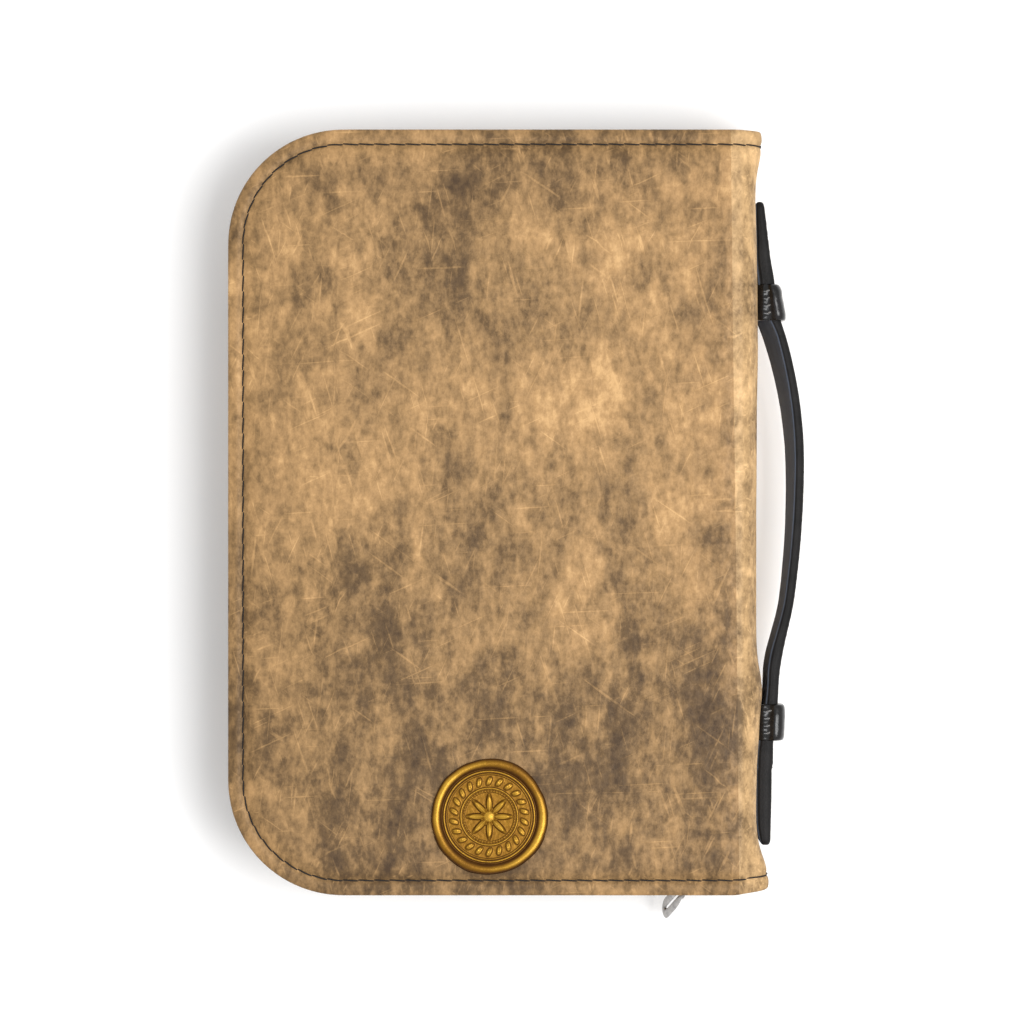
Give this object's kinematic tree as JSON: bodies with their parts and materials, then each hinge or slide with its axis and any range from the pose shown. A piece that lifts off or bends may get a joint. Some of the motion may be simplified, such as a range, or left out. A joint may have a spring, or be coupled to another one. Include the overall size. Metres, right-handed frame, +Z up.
{
  "type": "zipped bible",
  "caption": "Thick Bible in a padded zip-round leather case with a sliding strap handle on the spine, a round relief seal and pocket sleeves that hold the covers.",
  "frame": {"origin": "middle of the underside of the closed case, where the front cover rests, leaving out handle and puller", "axes": "+Z up from the front cover to the back cover, +Y from tail to head of the book, +X from the zipped fore-edge to the spine"},
  "size_m": [0.2042, 0.2807, 0.0518],
  "materials": {
    "case_leather": "matt distressed tan, parchment mottling",
    "strap_leather": "black, fine grain, slight gloss",
    "padding_foam": "soft sheet foam",
    "board": "grey pressed board",
    "lining_fabric": "black woven polyester",
    "zip_tape": "dark woven tape",
    "zip_coil": "dark nylon coil",
    "zip_metal": "plated, polished",
    "thread": "dark brown waxed thread",
    "book_cover": "black bonded leather, pebble grain",
    "page_paper": "thin cream pages, gilt edges",
    "headband": "striped woven band",
    "ribbon": "dark red satin",
    "elastic": "black ribbed elastic",
    "seal_gold": "antique gold, dark in the recesses"
  },
  "bodies": {
    "front_cover": {"front_cover_leather": "case_leather", "front_cover_padding": "padding_foam", "front_cover_board": "board", "front_cover_lining": "lining_fabric", "front_pocket_sleeve": "lining_fabric", "front_side_band": "case_leather", "front_zip_tape": "zip_tape", "front_zip_coil": "zip_coil", "front_zip_stops": "zip_metal", "front_stitching": "thread", "front_bible_cover": "book_cover", "front_flyleaf": "page_paper", "front_text_block": "page_paper", "front_headbands": "headband", "ribbon_marker": "ribbon", "pen_loop": "elastic"},
    "spine": {"spine_leather": "case_leather", "spine_board": "board", "spine_lining": "lining_fabric", "spine_gusset_head": "case_leather", "spine_gusset_tail": "case_leather", "bible_spine_cover": "book_cover", "bible_spine_mull": "lining_fabric", "handle_keeper_upper": "strap_leather", "handle_keeper_lower": "strap_leather", "strap_tail_upper": "strap_leather", "strap_tail_lower": "strap_leather"},
    "back_cover": {"back_cover_leather": "case_leather", "back_cover_padding": "padding_foam", "back_cover_board": "board", "back_cover_lining": "lining_fabric", "back_pocket_sleeve": "lining_fabric", "back_side_band": "case_leather", "back_zip_tape": "zip_tape", "back_zip_coil": "zip_coil", "back_zip_stops": "zip_metal", "back_stitching": "thread", "back_bible_cover": "book_cover", "back_flyleaf": "page_paper", "back_text_block": "page_paper", "back_headbands": "headband", "seal_medallion": "seal_gold"},
    "handle": {"handle_leather": "strap_leather", "handle_core": "padding_foam", "handle_backing": "strap_leather"},
    "slider": {"zip_slider": "zip_metal"},
    "puller": {"zip_puller": "zip_metal"}
  },
  "joints": [
    {"name": "front_fold", "type": "hinge", "parent": "front_cover", "child": "spine", "pos_m": [0.09066, 0, 0.00234], "axis": [0, 1, 0], "range_deg": [0, 35]},
    {"name": "back_fold", "type": "hinge", "parent": "spine", "child": "back_cover", "pos_m": [0.09066, 0, 0.04766], "axis": [0, 1, 0], "range_deg": [0, 157]},
    {"name": "zip_slide", "type": "slide", "parent": "front_cover", "child": "slider", "axis": [-1, 0, 0], "range_m": [0, 0.11]},
    {"name": "puller_swing", "type": "hinge", "parent": "slider", "child": "puller", "pos_m": [0.068, -0.13415, 0.025], "axis": [-1, 0, 0], "range_deg": [-15, 100]},
    {"name": "handle_swing", "type": "hinge", "parent": "spine", "child": "handle", "pos_m": [0.095, 0, 0.025], "axis": [0, -1, 0], "range_deg": [-19, 41]}
  ]
}
